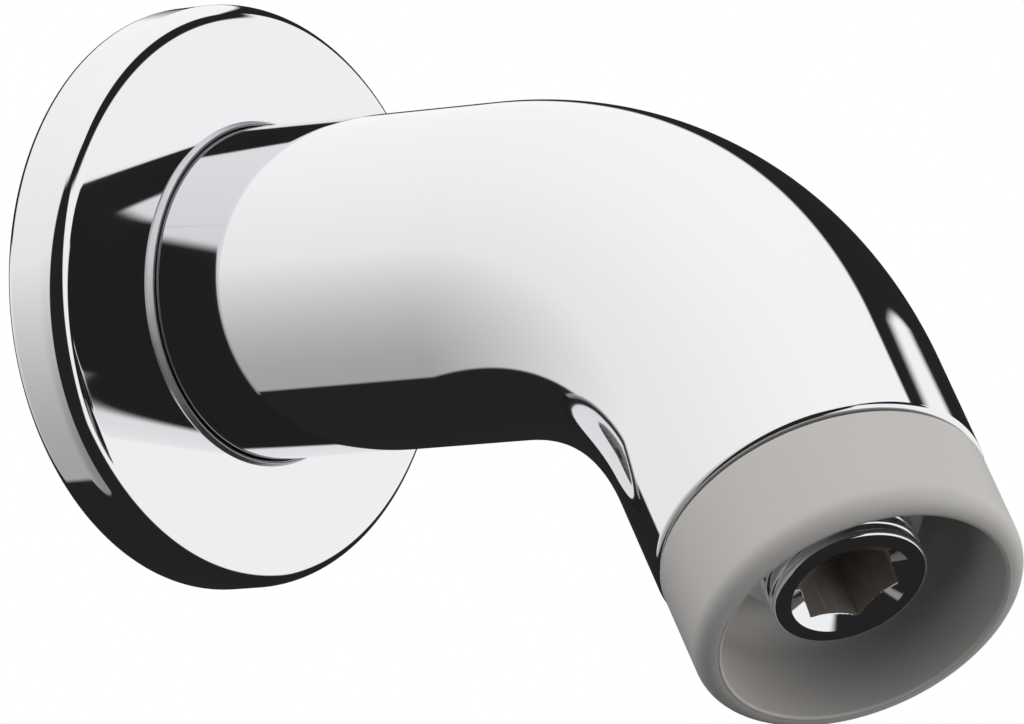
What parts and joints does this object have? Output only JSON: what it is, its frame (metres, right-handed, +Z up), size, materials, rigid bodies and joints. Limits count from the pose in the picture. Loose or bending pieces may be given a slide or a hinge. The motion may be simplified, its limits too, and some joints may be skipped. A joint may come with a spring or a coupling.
{
  "type": "shower arm",
  "caption": "Wall shower arm: a thick chromed tube from a round sliding wall flange, bent down to a grey cup round a threaded outlet nipple.",
  "frame": {"origin": "centre of the arm on the wall's surface, which is the plane of the flange's back edge", "axes": "+Y into the wall, +Z up, +X across the arm; the arm projects along -Y and turns down towards -Z"},
  "size_m": [0.079, 0.1582, 0.1032],
  "materials": {
    "chrome": "bright chrome plating on polished brass",
    "grey_plastic": "fine satin moulded plastic",
    "brass": "turned, bare",
    "rubber": "moulded rubber"
  },
  "bodies": {
    "arm": {"arm_tube": "chrome", "inlet_connector": "brass", "outlet_plug": "brass", "nipple_seal": "rubber", "end_cup": "grey_plastic", "outlet_nipple": "chrome"},
    "flange": {"wall_flange": "chrome", "flange_seal": "rubber"}
  },
  "joints": [
    {"name": "flange_slide", "type": "slide", "parent": "arm", "child": "flange", "axis": [0, -1, 0], "range_m": [0, 0.04]}
  ]
}
